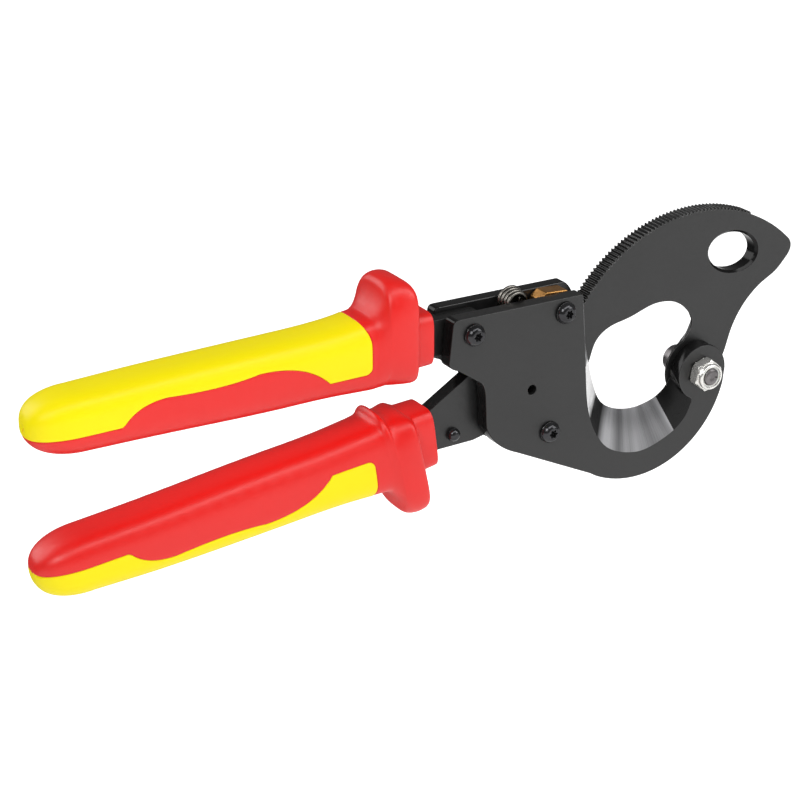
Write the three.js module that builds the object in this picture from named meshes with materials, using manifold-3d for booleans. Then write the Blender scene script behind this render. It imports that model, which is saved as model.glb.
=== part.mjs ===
// Ratchet cable cutter with two-colour insulated grips.
// Millimetres, +Z up. The tool lies in the XZ plane and Y runs through its thickness:
// X points from the grips to the cutting head, and the front face looks along -Y.
// Outlines are drawn from the blade's pivot axis, which then sits at (pivotX, 0, pivotZ).
import * as THREE from 'three';
import { mergeVertices } from 'three/addons/utils/BufferGeometryUtils.js';
import Module from 'manifold-3d';

const wasm = await Module();
wasm.setup();

// ---- driving dimensions -------------------------------------------------------------------
const pivotX = 99.6;             // blade pivot from the middle of the tool's length
const pivotZ = 33.2;             // blade pivot above the lowest point of the jaw
const layerHalf = 3;             // half thickness of the blade
const coreHalf = 2.7;            // half thickness of the lever and the tang
const gap = 0.3;                 // clearance between neighbouring layers and pieces
const frontPlateThick = 5.2;
const backPlateThick = 4.6;
const plateIn = layerHalf + gap;                  // inner faces of both plates
const frontFace = -(plateIn + frontPlateThick);
const backFace = plateIn + backPlateThick;

const toothTipRadius = 56.4;     // toothed edge of the blade, about the pivot
const toothDepth = 0.9;
const toothPitch = 1.5;
const plainRadius = 55.6;        // edge of the tail, past the last tooth
const tailAngle = 45.5;          // degrees, where the tail's edge starts
const firstToothAngle = 67;
const beakAngle = 187;           // degrees, last tooth near the beak
const eyeRadius = 9.8;           // pivot eye of the fixed jaw
const hubRadius = 11.3;          // pivot hub of the blade
const pivotPinRadius = 3;
const pivotBushRadius = 4.4;

const leverPivot = [-69.3, 8];   // the moving handle turns here
const leverBoss = 12.4;
const screwTang = [-91.8, 31.5];
const screwPawl = [-57.2, 32.5];
const screwSpacer = [-62.1, -8.4];
const screwRadius = 2;
const dowel = [-71.5, 27.2];
const drivePawlPivot = [-62.6, 13.6];
const drivePawlTip = [-56.78, -2.6];
const retainingPawlTip = [-54.2, 17.2];
const forkHalf = 1.4;            // half width of the slot in the lever for the drive pawl
const studAt = [-95.9, -3.9];    // domed stud riveted through the lever beside the grip
const studRadius = 1.3;
const dowelRadius = 1.8;
const leverPinRadius = 3.6;
const leverBushRadius = 4.7;
const pawlBushRadius = 3.1;
const drivePinRadius = 1.38;
const edgeLand = 0.6;            // flat left on the front of the blade's cutting edge
const nutBase = frontFace - 0.2;
const nutHexHeight = 3.7;
const nutTop = nutBase - 5.3;
const nutCornerRadius = 5.75;    // 10 mm across the flats
const boltHeadRadius = 4.8;
const boltHeadHeight = 4.6;
const snug = 0.05;               // clearance round a fixed pin
const running = 0.06;            // clearance round a turning pin
const pinEntry = 1.5;            // how far a pin's end goes into each plate
const blindDepth = 1.8;          // depth of the plates' blind holes
const through = 4;               // half length of a cutter that passes the middle layer
const skin = 2.2;                // thickness of the yellow outer layer

// Where each grip's collar ends. side -1 mirrors a grip, and lineShift moves its two-colour line.
// guardWidth scales the guard along the handle, lean tips its rim towards the head, and lip is
// the height of the ridge on its inner side. belly swells the handle outwards.
const upperGripEnd = {
  x: -106.5, z: 30, turn: 0.2, side: 1, lineShift: -0.5, stretch: 0.995,
  collarInner: -7, guardWidth: 1.2, lean: 0, lip: 0, belly: 0,
};
const lowerGripEnd = {
  x: -105.6, z: -1.4, turn: 7.6, side: -1, lineShift: 1.2, stretch: 1.012,
  collarInner: -9.5, guardWidth: 1, lean: 0.08, lip: 3, belly: 0.8,
};
const fine = 32;                 // segments round a large circle
const coarse = 20;               // segments round a small one
const rad = THREE.MathUtils.degToRad;

// ---- materials ----------------------------------------------------------------------------
const finish = (color, roughness, metalness) =>
  () => new THREE.MeshStandardMaterial({ color, roughness, metalness });
const blackened = finish(0x434345, 0.5, 0.6);
const darkSteel = finish(0x2a2a2c, 0.4, 0.8);
const springSteel = finish(0x8f8b82, 0.35, 0.9);
const nickel = finish(0xe8e4d8, 0.2, 1);
const bronze = finish(0x9a6a35, 0.4, 0.9);
const white = finish(0xf0f0ea, 0.6, 0);
const red = finish(0xe43733, 0.45, 0);
const yellow = finish(0xf5e400, 0.45, 0);

// ---- solids: joining and cutting ----------------------------------------------------------
function toSolid(source) {
  const bare = new THREE.BufferGeometry();
  bare.setAttribute('position', source.getAttribute('position').clone());
  if (source.index) bare.setIndex(source.index.clone());
  const merged = mergeVertices(bare, 1e-4);
  const index = [];
  for (let i = 0; i < merged.index.count; i += 3) {
    const [a, b, c] = [0, 1, 2].map((k) => merged.index.getX(i + k));
    if (a !== b && b !== c && c !== a) index.push(a, b, c);
  }
  return new wasm.Manifold(new wasm.Mesh({
    numProp: 3,
    vertProperties: new Float32Array(merged.getAttribute('position').array),
    triVerts: new Uint32Array(index),
  }));
}

function toGeometry(solid) {
  const mesh = solid.getMesh();
  const geometry = new THREE.BufferGeometry();
  geometry.setAttribute('position', new THREE.BufferAttribute(mesh.vertProperties, 3));
  geometry.setIndex(new THREE.BufferAttribute(mesh.triVerts, 1));
  geometry.computeVertexNormals();
  return geometry;
}

const join = (first, ...others) => others.reduce((sum, next) => sum.add(next), first);
const cut = (first, ...others) => others.reduce((rest, next) => rest.subtract(next), first);

// ---- shapes -------------------------------------------------------------------------------
// A shape drawn in x and z, running from y0 to y1.
function slab(shape, y0, y1, curveSegments = 12) {
  const options = { depth: y1 - y0, bevelEnabled: false, curveSegments };
  const geometry = new THREE.ExtrudeGeometry(shape, options);
  return toSolid(geometry.rotateX(Math.PI / 2).translate(0, y1, 0));
}

// A cylinder along Y, about the point [x, z].
function rod([x, z], radius, y0, y1, segments = coarse, endRadius = radius) {
  const geometry = new THREE.CylinderGeometry(endRadius, radius, y1 - y0, segments);
  return toSolid(geometry.translate(x, (y0 + y1) / 2, z));
}

// A turned piece about Y through [x, z]; the profile is a list of [radius, y].
function turned([x, z], profile, segments = coarse) {
  const points = profile.map(([r, y]) => new THREE.Vector2(r, y));
  return toSolid(new THREE.LatheGeometry(points, segments).translate(x, 0, z));
}

function polygon(points) {
  return new THREE.Shape(points.map(([x, z]) => new THREE.Vector2(x, z)));
}

// Closed solid through matching rings of points; flat() gives a ring's cap outline in 2D.
function loft(givenRings, flat) {
  const clockwise = THREE.ShapeUtils.isClockWise(givenRings[0].map(flat));
  const rings = clockwise ? givenRings.map((ring) => [...ring].reverse()) : givenRings;
  const count = rings[0].length;
  const last = (rings.length - 1) * count;
  const triangles = [];
  for (let start = 0; start < last; start += count) {
    for (let i = 0; i < count; i++) {
      const j = (i + 1) % count;
      triangles.push([start + i, start + j, start + count + j]);
      triangles.push([start + i, start + count + j, start + count + i]);
    }
  }
  const cap = (ring) => THREE.ShapeUtils.triangulateShape(ring.map(flat), []);
  cap(rings[0]).forEach(([a, b, c]) => triangles.push([c, b, a]));
  cap(rings.at(-1)).forEach(([a, b, c]) => triangles.push([last + a, last + b, last + c]));
  const geometry = new THREE.BufferGeometry().setFromPoints(rings.flat());
  geometry.setIndex(triangles.flat());
  const solid = toSolid(geometry);
  if (solid.volume() > 0) return solid;
  geometry.setIndex(triangles.flatMap(([a, b, c]) => [a, c, b]));
  return toSolid(geometry);
}

// Round wire along a list of points.
function wire(points, radius, steps) {
  const section = new THREE.Shape().absarc(0, 0, radius, 0, Math.PI * 2);
  const path = new THREE.CatmullRomCurve3(points);
  const options = { steps, extrudePath: path, curveSegments: 4 };
  return toSolid(new THREE.ExtrudeGeometry(section, options));
}

// ---- frame --------------------------------------------------------------------------------
// The left end is the same on both plates, from the top edge round to the lower edge.
function plateLeftEnd(shape, top) {
  shape.lineTo(-97.6, top);
  shape.quadraticCurveTo(-99.5, top, -99.6, top - 2);
  shape.lineTo(-100.9, 23.2);
  shape.quadraticCurveTo(-101, 21.4, -97.4, 20.2);
  shape.lineTo(-89.2, 14.6);
  shape.quadraticCurveTo(-87.4, 13.2, -87.1, 8.5);
  shape.lineTo(-86.6, -1.8);
  shape.quadraticCurveTo(-83.8, -9.4, -74.5, -13.2);
}

// Both faces of the front plate share this outline except along the ground jaw, where
// `inner` lists the points of the opening from the plate's right edge round to the eye.
function frontPlateOutline(inner) {
  const shape = new THREE.Shape();
  shape.moveTo(-50.3, 37.5);
  plateLeftEnd(shape, 37.5);
  shape.lineTo(-45, -27.5);
  shape.absarc(-26, 3.3, 36.3, rad(-117), rad(-9));
  shape.lineTo(0, 0);
  const points = inner.map(([x, z]) => new THREE.Vector2(x, z));
  shape.lineTo(points[0].x, points[0].y);
  shape.splineThru(points.slice(1));
  return shape.getPoints(14);
}

const jawFrontEdge = [[-3.6, -9.2], [-6.8, -15.6], [-13.6, -20.5], [-25.1, -23.7],
  [-36.9, -20.4], [-43.4, -12.9], [-47, -1.9], [-48.6, 16]];
const jawCuttingEdge = [[-9.6, -1.2], [-12.6, -5.2], [-17.5, -8], [-25.1, -9.3],
  [-33, -7.8], [-38.6, -3.8], [-42, 4.3], [-44.8, 16]];

const onFace = (points, y) => points.map((p) => new THREE.Vector3(p.x, y, p.y));
const fromFront = (p) => new THREE.Vector2(p.x, p.z);
const fromEnd = (p) => new THREE.Vector2(p.y, p.z);

// The fixed jaw is one piece with the front plate and is ground down to its inner face.
function frontPlate() {
  const body = loft([
    onFace(frontPlateOutline(jawFrontEdge), frontFace),
    onFace(frontPlateOutline(jawCuttingEdge), -plateIn),
  ], fromFront);
  const eye = rod([0, 0], eyeRadius, frontFace, -plateIn, fine);
  const holes = [screwTang, screwPawl, screwSpacer].map((at) =>
    rod(at, screwRadius + gap, frontFace - 1, 0));
  const blind = -plateIn - blindDepth;
  const pinDrillRadius = 1.65;
  return cut(join(body, eye), ...holes,
    rod([0, 0], pivotBushRadius + snug, frontFace - 1, 0, fine),
    rod(leverPivot, pinDrillRadius, frontFace - 1, 0),
    rod(leverPivot, leverPinRadius + snug, blind - 1, 0),
    rod(dowel, dowelRadius + snug, blind, 0));
}

function backPlate() {
  const shape = new THREE.Shape();
  shape.moveTo(-50, 38.1);
  plateLeftEnd(shape, 38.1);
  shape.lineTo(-59, -20.6);
  shape.quadraticCurveTo(-52.5, -23, -51, -16.5);
  shape.quadraticCurveTo(-46.2, 4, -45.6, 28);
  shape.quadraticCurveTo(-45.6, 35.6, -50, 38.1);
  const holes = [screwTang, screwPawl, screwSpacer].map((at) =>
    rod(at, screwRadius + gap, 0, backFace + 1));
  const blind = plateIn + blindDepth;
  return cut(slab(shape, plateIn, backFace), ...holes,
    rod(leverPivot, leverPinRadius + snug, 0, blind + 1),
    rod(dowel, dowelRadius + snug, 0, blind));
}

// Steel core of the fixed handle: held by one screw and one dowel between the plates.
function fixedTang() {
  const shape = new THREE.Shape();
  shape.moveTo(-228, 26);
  shape.lineTo(-112, 24.4);
  shape.lineTo(-88, 23.8);
  shape.lineTo(-71.5, 23.8);
  shape.absarc(dowel[0], dowel[1], 3.4, rad(-90), rad(90));
  shape.lineTo(-83, 30.8);
  shape.quadraticCurveTo(-85.6, 31.5, -86.4, 36.6);
  shape.lineTo(-112, 36.6);
  shape.lineTo(-228, 33.6);
  return cut(slab(shape, -coreHalf, coreHalf),
    rod(screwTang, screwRadius + gap, -through, through),
    rod(dowel, dowelRadius + snug, -through, through));
}

function tangDowel() {
  return rod(dowel, dowelRadius, -plateIn - pinEntry, plateIn + pinEntry);
}

// Button-head screw with a six-lobe socket, head on the front face, end in the back plate.
function buttonScrew(at) {
  const headRadius = 3.7;
  const top = frontFace - gap;
  const profile = [[0, top - 2.3], [1.9, top - 2.3], [2.9, top - 1.7], [3.5, top - 0.8],
    [headRadius, top], [screwRadius, top], [screwRadius, backFace - 0.3], [0, backFace - 0.3]];
  const lobes = new THREE.Shape();
  const lobeCount = 6;
  const pointsPerLobe = 4;
  for (let i = 0; i < lobeCount * pointsPerLobe; i++) {
    const angle = (i / (lobeCount * pointsPerLobe)) * Math.PI * 2;
    const radius = 1.32 + 0.24 * Math.cos(lobeCount * angle);
    const point = [at[0] + radius * Math.cos(angle), at[1] + radius * Math.sin(angle)];
    if (i === 0) lobes.moveTo(...point);
    lobes.lineTo(...point);
  }
  return cut(turned(at, profile), slab(lobes, top - 3, top - 0.7));
}

// Sleeve round one of the frame's screws, between the plates.
function sleeve(at, outer, inner = screwRadius + 0.15, half = layerHalf + 0.15) {
  return cut(rod(at, outer, -half, half), rod(at, inner, -half - 1, half + 1));
}

function leverPivotPin() {
  const end = plateIn + pinEntry;
  return rod(leverPivot, leverPinRadius, -end, end);
}

// ---- pivot hardware -----------------------------------------------------------------------
function pivotBolt() {
  const chamfer = 0.6;
  const under = layerHalf + gap;
  const top = under + boltHeadHeight;
  const end = nutTop - 0.2;
  const profile = [[0, end], [pivotPinRadius - chamfer, end], [pivotPinRadius, end + chamfer],
    [pivotPinRadius, under], [boltHeadRadius, under], [boltHeadRadius, top - chamfer],
    [boltHeadRadius - chamfer, top], [0, top]];
  const socket = toSolid(new THREE.CylinderGeometry(2.8, 2.8, 5, 6).translate(0, top, 0));
  return cut(turned([0, 0], profile, 24), socket);
}

function pivotBush() {
  const ends = [frontFace + 0.2, layerHalf];
  return cut(rod([0, 0], pivotBushRadius, ...ends, fine),
    rod([0, 0], pivotPinRadius + running, ends[0] - 1, ends[1] + 1, fine));
}

function pivotNut() {
  const hex = toSolid(new THREE.CylinderGeometry(nutCornerRadius, nutCornerRadius, nutHexHeight, 6)
    .rotateY(rad(12)).translate(0, nutBase - nutHexHeight / 2, 0));
  const chamfer = turned([0, 0], [[0, nutTop - 1], [4.5, nutTop - 1], [5.1, nutBase - nutHexHeight],
    [5.8, nutBase - nutHexHeight + 0.6], [5.8, nutBase - 0.5], [5.2, nutBase], [0, nutBase]], 24);
  const collar = rod([0, 0], 4.6, nutTop, nutBase - nutHexHeight + 0.5, 24);
  return cut(join(hex.intersect(chamfer), collar),
    rod([0, 0], pivotPinRadius + running, nutTop - 1, frontFace, fine),
    rod([0, 0], 4.0, nutTop - 1, nutTop + 1.6, 24));
}

// Nylon locking ring pressed into the collar of the nut.
function nutRing() {
  return cut(rod([0, 0], 3.9, nutTop + 0.1, nutTop + 1.4, 24),
    rod([0, 0], pivotPinRadius + running, nutTop - 1, frontFace, fine));
}

// ---- moving blade -------------------------------------------------------------------------
function toothedArc(shape) {
  const angleStep = toothPitch / toothTipRadius;
  const span = rad(beakAngle - firstToothAngle);
  const teeth = Math.floor(span / angleStep);
  const root = toothTipRadius - toothDepth;
  for (let i = 0; i < teeth; i++) {
    const angle = rad(firstToothAngle) + i * angleStep;
    shape.lineTo(root * Math.cos(angle), root * Math.sin(angle));
    const crest = angle + angleStep * 0.6;
    shape.lineTo(toothTipRadius * Math.cos(crest), toothTipRadius * Math.sin(crest));
  }
}

// Cutting edge of the blade, from the beak round to the hub.
const bladeEdge = [[-49.5, -5.5], [-45.4, 3], [-43.2, 10.8], [-40.6, 17.6], [-35.5, 21.4],
  [-27, 23.4], [-17, 26.3], [-8.5, 25.2], [-2.6, 20.4], [-1.3, 15.4], [-4.4, 10.4]];
const hubEdge = [[-7.6, 8.4], [-10, 5.2], [-11.2, 1.4], [-11.2, -1.6], [-8.6, -7.4]];
// The same two edges on the back face, at the far side of the grinding.
const bladeGroundEdge = [[-50.6, -5.2], [-48.6, 4], [-47.2, 12], [-44.6, 21], [-38.6, 26],
  [-28.6, 28.4], [-17, 31], [-6, 29], [1, 22.8], [3.2, 16.4], [1.2, 11.8]];
const hubGroundEdge = [[-2.6, 8.2], [-6, 5.8], [-7.8, 2.4], [-8, -1.6], [-6, -7.6]];

function bladeOutline() {
  const shape = new THREE.Shape();
  shape.moveTo(hubRadius, -1);
  shape.splineThru([[13.4, 3], [16.4, 12], [20.6, 19], [26.4, 24.6], [33.8, 29], [38, 33.2]]
    .map(([x, z]) => new THREE.Vector2(x, z)));
  const tail = rad(tailAngle);
  shape.quadraticCurveTo(41.2, 36.6, plainRadius * Math.cos(tail), plainRadius * Math.sin(tail));
  shape.absarc(0, 0, plainRadius, tail, rad(firstToothAngle - 1), false);
  toothedArc(shape);
  shape.lineTo(-54.8, -8.6);
  shape.splineThru(bladeEdge.map(([x, z]) => new THREE.Vector2(x, z)));
  shape.absarc(0, 0, hubRadius, rad(113), rad(355), false);
  return shape;
}

// Closed outline of the opening that the grinding of the cutting edge takes away.
function groundOpening(edge) {
  const shape = new THREE.Shape();
  shape.moveTo(-30, 0);
  shape.lineTo(edge[0][0], edge[0][1]);
  shape.splineThru(edge.slice(1).map(([x, z]) => new THREE.Vector2(x, z)));
  shape.lineTo(-9, -14);
  shape.lineTo(-20, -8);
  return shape.getPoints(4);
}

// Oval finger hole in the tail, used to swing the blade open.
function fingerHole(grow = 0) {
  const shape = new THREE.Shape();
  shape.absellipse(14.8, 39.1, 10.1 + grow, 6.7 + grow, 0, Math.PI * 2, false, rad(-13));
  return shape;
}

function blade() {
  const body = slab(bladeOutline(), -layerHalf, layerHalf, 10);
  const rim = 0.9;
  const beyond = 0.05;
  const holeRing = (grow, y) => onFace(fingerHole(grow).getPoints(28).slice(0, -1), y);
  const chamfers = [-1, 1].map((face) => loft([
    holeRing(rim + beyond, face * (layerHalf + beyond)),
    holeRing(0, face * (layerHalf - rim)),
  ], fromFront));
  const grinding = loft([
    onFace(groundOpening([...bladeEdge, ...hubEdge]), -layerHalf + edgeLand),
    onFace(groundOpening([...bladeGroundEdge, ...hubGroundEdge]), layerHalf + beyond),
  ], fromFront);
  return cut(body, slab(fingerHole(), -through, through, 28), ...chamfers, grinding,
    rod([0, 0], pivotBushRadius + running, -through, through, fine));
}

// ---- moving lever and pawls ---------------------------------------------------------------
function lever() {
  const [px, pz] = leverPivot;
  const shape = new THREE.Shape();
  shape.moveTo(px + leverBoss * Math.cos(rad(-100)), pz + leverBoss * Math.sin(rad(-100)));
  shape.absarc(px, pz, leverBoss, rad(-100), rad(100), false);
  shape.quadraticCurveTo(-80, 21, -86, 17.7);
  shape.lineTo(-105.5, 5.6);
  shape.lineTo(-110, 3.6);
  shape.lineTo(-224, -14.4);
  shape.lineTo(-224, -21.2);
  shape.lineTo(-110, -8.6);
  shape.lineTo(-88, -7.9);
  const body = slab(shape, -coreHalf, coreHalf, 10);
  const slot = polygon([[-66, -8], [-66, 13], [-63.5, 18.4], [-57, 22], [-52, 10], [-52, -8]]);
  return cut(body,
    slab(slot, -forkHalf, forkHalf),
    rod(drivePawlPivot, drivePinRadius + running, -through, through, 16),
    rod(leverPivot, leverBushRadius + snug, -through, through, 24),
    rod(studAt, studRadius + snug, -through, through, 16));
}

function leverStud() {
  const under = -coreHalf - 0.1;
  return turned(studAt, [[0, under - 2.4], [1.1, under - 2.3], [1.9, under - 1.7], [2.25, under - 0.8],
    [2.25, under], [studRadius, under], [studRadius, coreHalf - 0.1], [0, coreHalf - 0.1]], 16);
}

function drivePawl() {
  const [qx, qz] = drivePawlPivot;
  const [tx, tz] = drivePawlTip;
  const shape = new THREE.Shape();
  shape.absarc(qx, qz, 2.7, rad(20), rad(200), false);
  shape.lineTo(qx + 0.6, qz - 8);
  shape.lineTo(tx - 2.4, tz + 2.2);
  shape.lineTo(tx - 0.6, tz - 0.3);
  shape.lineTo(tx, tz);
  shape.lineTo(tx - 0.5, tz + 6);
  const half = forkHalf - 0.2;
  return cut(slab(shape, -half, half, 10),
    rod(drivePawlPivot, drivePinRadius + running, -through, through, 16));
}

function drivePawlPin() {
  return rod(drivePawlPivot, drivePinRadius, -coreHalf, coreHalf, 16);
}

// Leaf that holds the drive pawl against the teeth.
function drivePawlSpring() {
  const shape = polygon([[-65.7, -3.2], [-64.4, -3.2], [-64, 0.5], [-63.6, 5.2], [-64.1, 5.2],
    [-64.5, 0.5], [-64.8, -2.6], [-65.7, -2.6]]);
  return slab(shape, -1, 1);
}

// Stops the blade from springing back; its crown stands proud of the plates as a thumb release.
function retainingPawl() {
  const [sx, sz] = screwPawl;
  const [tx, tz] = retainingPawlTip;
  const shape = new THREE.Shape();
  shape.moveTo(sx - 7, sz - 1.6);
  shape.lineTo(sx - 5.6, sz - 4.4);
  shape.lineTo(tx - 3.4, tz + 4);
  shape.lineTo(tx - 2, tz + 0.2);
  shape.lineTo(tx, tz);
  shape.lineTo(tx + 1.2, tz + 5.4);
  shape.lineTo(sx + 5.2, sz - 4.6);
  shape.quadraticCurveTo(sx + 7, sz - 1, sx + 6.4, sz + 3);
  shape.lineTo(sx + 4.4, sz + 5.2);
  shape.lineTo(sx - 3.6, sz + 5.7);
  shape.lineTo(sx - 6.4, sz + 3.6);
  const half = layerHalf - 0.1;
  return cut(slab(shape, -half, half, 8), rod(screwPawl, pawlBushRadius + running, -through, through));
}

// Coil with two legs: one on the crown of the retaining pawl, one on the end of the tang.
function pawlSpring() {
  const centre = [-72.4, 37.3];
  const coilRadius = 4.3;
  const wireRadius = 0.5;
  const turns = 4;
  const pitch = 1.08;
  const perTurn = 12;
  const points = [new THREE.Vector3(-83.2, -2.2, 33.4), new THREE.Vector3(-80, -2.2, 34.2)];
  const startAngle = rad(180);
  for (let i = 0; i <= (turns - 0.3) * perTurn; i++) {
    const angle = startAngle - (i / perTurn) * Math.PI * 2;
    const y = -2.16 + (i / perTurn) * pitch;
    points.push(new THREE.Vector3(
      centre[0] + coilRadius * Math.cos(angle), y, centre[1] + coilRadius * Math.sin(angle)));
  }
  points.push(new THREE.Vector3(-66.5, 2, 41), new THREE.Vector3(-61.2, 2, 40.2));
  return wire(points, wireRadius, 76);
}

// ---- grips --------------------------------------------------------------------------------
// Sections along a handle, from its guard to its end, in the handle's own frame:
// u runs back towards the frame, w points away from the other handle.
// [u, inner w, outer w, half depth, squareness], and for the guard the share of the lip
const guardSections = [
  [-6.8, -9.8, 20.2, 11.2, 6, 0], [-7.8, -10.6, 22.6, 12, 6, 0], [-10, -10.9, 23.9, 12.3, 6, 0],
  [-13, -10.9, 24.2, 12.3, 6, 0], [-15.3, -10.8, 23.3, 12.1, 5.5, 0.5], [-15.9, -10.8, 19.8, 11.8, 5, 1],
  [-17.1, -10.8, 16.2, 11.3, 4.5, 1], [-18.5, -10.8, 13.7, 10.8, 4, 0.2],
];
// [u, inner w, outer w, half depth, squareness, share of the belly]
const handleSections = [
  [-25, -10.8, 12.4, 10.4, 3.6, 0.3], [-38, -10.4, 11.2, 10.3, 3.3, 0.7], [-60, -10.8, 10.6, 10.3, 3.3, 1],
  [-95, -10.1, 9.6, 10.2, 3.3, 0.9], [-118, -10.1, 8.5, 10, 3.2, 0.1], [-126.5, -9.2, 7.6, 9.1, 2.9, 0],
  [-131, -6.9, 5.6, 7, 2.6, 0], [-133.2, -3.9, 3, 3.9, 2.2, 0],
];

// Rings of points for the grip's outer surface, or for one set in from it.
function gripRings({ collarInner, guardWidth, lean, lip, belly }, inset = 0) {
  const pointCount = 28;
  const guardFace = guardSections[0][0];
  const collar = [[0.6, collarInner, 10.9, 7.8, 5], [guardFace + 0.1, collarInner - 0.2, 11.2, 8.2, 5]];
  const ring = (tilt) => ([u, inner, outer, depth, square]) => {
    const middle = (inner + outer) / 2;
    const tall = (outer - inner) / 2 - inset;
    const wide = depth - inset;
    const bulge = (value) => Math.sign(value) * Math.abs(value) ** (2 / square);
    return Array.from({ length: pointCount }, (_, i) => {
      const angle = (i / pointCount) * Math.PI * 2;
      const w = middle + tall * bulge(Math.sin(angle));
      return new THREE.Vector3(u + tilt * w, wide * bulge(Math.cos(angle)), w);
    });
  };
  const widened = guardSections.map(([u, inner, outer, depth, square, share]) =>
    [guardFace + (u - guardFace) * guardWidth, inner - lip * share, outer, depth, square]);
  const swollen = handleSections.map(([u, inner, outer, depth, square, share]) =>
    [u, inner + belly * share / 2, outer + belly * share, depth, square]);
  return [...collar.map(ring(0)), ...widened.map(ring(lean)), ...swollen.map(ring(0))];
}

// Side view of the yellow layer: everything outward of the two-colour line.
function yellowZone(grow, lineShift) {
  const shape = new THREE.Shape();
  shape.moveTo(-140, -3.2 - grow);
  shape.lineTo(-106.5 + grow, -2.6 - grow);
  shape.quadraticCurveTo(-102 + grow, 3.6 - grow, -92, 3.9 - grow);
  shape.quadraticCurveTo(-74, 2.7 - grow, -62, 4.9 - grow);
  shape.quadraticCurveTo(-46 + grow, 5.4 - grow, -38 + grow, -3.2 - grow);
  shape.lineTo(-25.5, -3 - grow);
  shape.quadraticCurveTo(-23.2 + grow, -2.6 - grow, -23.2 + grow, 0);
  shape.lineTo(-23.2 + grow, 6.5);
  shape.quadraticCurveTo(-23.4 + grow, 9, -27.4 + grow, 18);
  shape.lineTo(-140, 18);
  return slab(shape, -20, 20, 8).translate([0, 0, lineShift]);
}

function grip(colour, end) {
  const { x, z, turn, side, lineShift, stretch } = end;
  const whole = loft(gripRings(end), fromEnd);
  const core = (inset) => loft(gripRings(end, inset), fromEnd);
  const solid = colour === 'yellow'
    ? cut(whole.intersect(yellowZone(0, lineShift)), core(skin))
    : cut(whole, cut(yellowZone(gap, lineShift), core(skin + gap)));
  const placed = side > 0 ? solid : solid.mirror([0, 0, 1]);
  return placed.scale([stretch, 1, 1]).rotate([0, -turn, 0]).translate([x, 0, z]);
}

function tangSlot(shapePoints) {
  return slab(polygon(shapePoints), -coreHalf - gap, coreHalf + gap);
}

const upperSlot = [[-229, 25.6], [-112, 24.0], [-100, 23.4], [-100, 37], [-112, 37], [-229, 34]];
const lowerSlot = [[-225, -21.8], [-110, -9], [-100, -8.6], [-100, 9.4], [-105.5, 6.1],
  [-110, 4.1], [-225, -14]];

// ---- assembly -----------------------------------------------------------------------------
const tool = new THREE.Group();
tool.position.set(pivotX, 0, pivotZ);

function add(name, material, solid) {
  const mesh = new THREE.Mesh(toGeometry(solid), material());
  mesh.name = name;
  tool.add(mesh);
}

add('front_plate', blackened, frontPlate());
add('back_plate', blackened, backPlate());
add('fixed_tang', blackened, fixedTang());
add('tang_dowel', darkSteel, tangDowel());
add('screw_tang', darkSteel, buttonScrew(screwTang));
add('screw_pawl', darkSteel, buttonScrew(screwPawl));
add('screw_spacer', darkSteel, buttonScrew(screwSpacer));
add('frame_spacer', darkSteel, sleeve(screwSpacer, 4.2));
add('pawl_bush', darkSteel, sleeve(screwPawl, pawlBushRadius));
add('lever_pivot_pin', darkSteel, leverPivotPin());
add('pivot_bolt', darkSteel, pivotBolt());
add('pivot_bush', bronze, pivotBush());
add('pivot_nut', nickel, pivotNut());
add('nut_ring', white, nutRing());
add('blade', blackened, blade());
add('lever', blackened, lever());
add('lever_bush', bronze, sleeve(leverPivot, leverBushRadius, leverPinRadius + running, coreHalf));
add('lever_stud', darkSteel, leverStud());
add('drive_pawl', darkSteel, drivePawl());
add('drive_pawl_pin', darkSteel, drivePawlPin());
add('drive_pawl_spring', springSteel, drivePawlSpring());
add('retaining_pawl', bronze, retainingPawl());
add('pawl_spring', springSteel, pawlSpring());
add('upper_grip_red', red, cut(grip('red', upperGripEnd), tangSlot(upperSlot)));
add('upper_grip_yellow', yellow, grip('yellow', upperGripEnd));
add('lower_grip_red', red, cut(grip('red', lowerGripEnd), tangSlot(lowerSlot)));
add('lower_grip_yellow', yellow, grip('yellow', lowerGripEnd));

export default tool;
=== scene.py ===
"""Looks of the ratchet cable cutter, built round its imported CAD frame.

Outlines are in millimetres about the blade's pivot axis: x towards the head, z up, y to the rear.
"""
import math

import bmesh
import bpy
import numpy as np
from mathutils import Matrix, Vector


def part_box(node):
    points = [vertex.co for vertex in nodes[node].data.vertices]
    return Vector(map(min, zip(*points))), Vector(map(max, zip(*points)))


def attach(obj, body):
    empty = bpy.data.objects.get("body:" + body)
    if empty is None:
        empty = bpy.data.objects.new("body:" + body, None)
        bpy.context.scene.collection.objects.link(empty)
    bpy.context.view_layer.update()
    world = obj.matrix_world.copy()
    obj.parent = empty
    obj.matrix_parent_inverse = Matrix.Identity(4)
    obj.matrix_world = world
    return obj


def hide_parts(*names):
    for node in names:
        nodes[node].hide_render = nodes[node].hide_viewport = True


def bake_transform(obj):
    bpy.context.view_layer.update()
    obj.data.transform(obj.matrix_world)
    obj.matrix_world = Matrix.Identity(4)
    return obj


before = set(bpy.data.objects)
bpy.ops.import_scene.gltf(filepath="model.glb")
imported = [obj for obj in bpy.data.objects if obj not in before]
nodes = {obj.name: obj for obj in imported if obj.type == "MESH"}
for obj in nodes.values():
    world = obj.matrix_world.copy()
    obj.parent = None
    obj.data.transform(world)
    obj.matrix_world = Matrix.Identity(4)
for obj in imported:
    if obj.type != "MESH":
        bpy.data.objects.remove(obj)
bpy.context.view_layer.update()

MM = 0.001


def middle(node):
    low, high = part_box(node)
    return (low + high) / 2


def depths(node):
    """Front and rear y of a node, in millimetres."""
    return [corner.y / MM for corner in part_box(node)]


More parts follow.
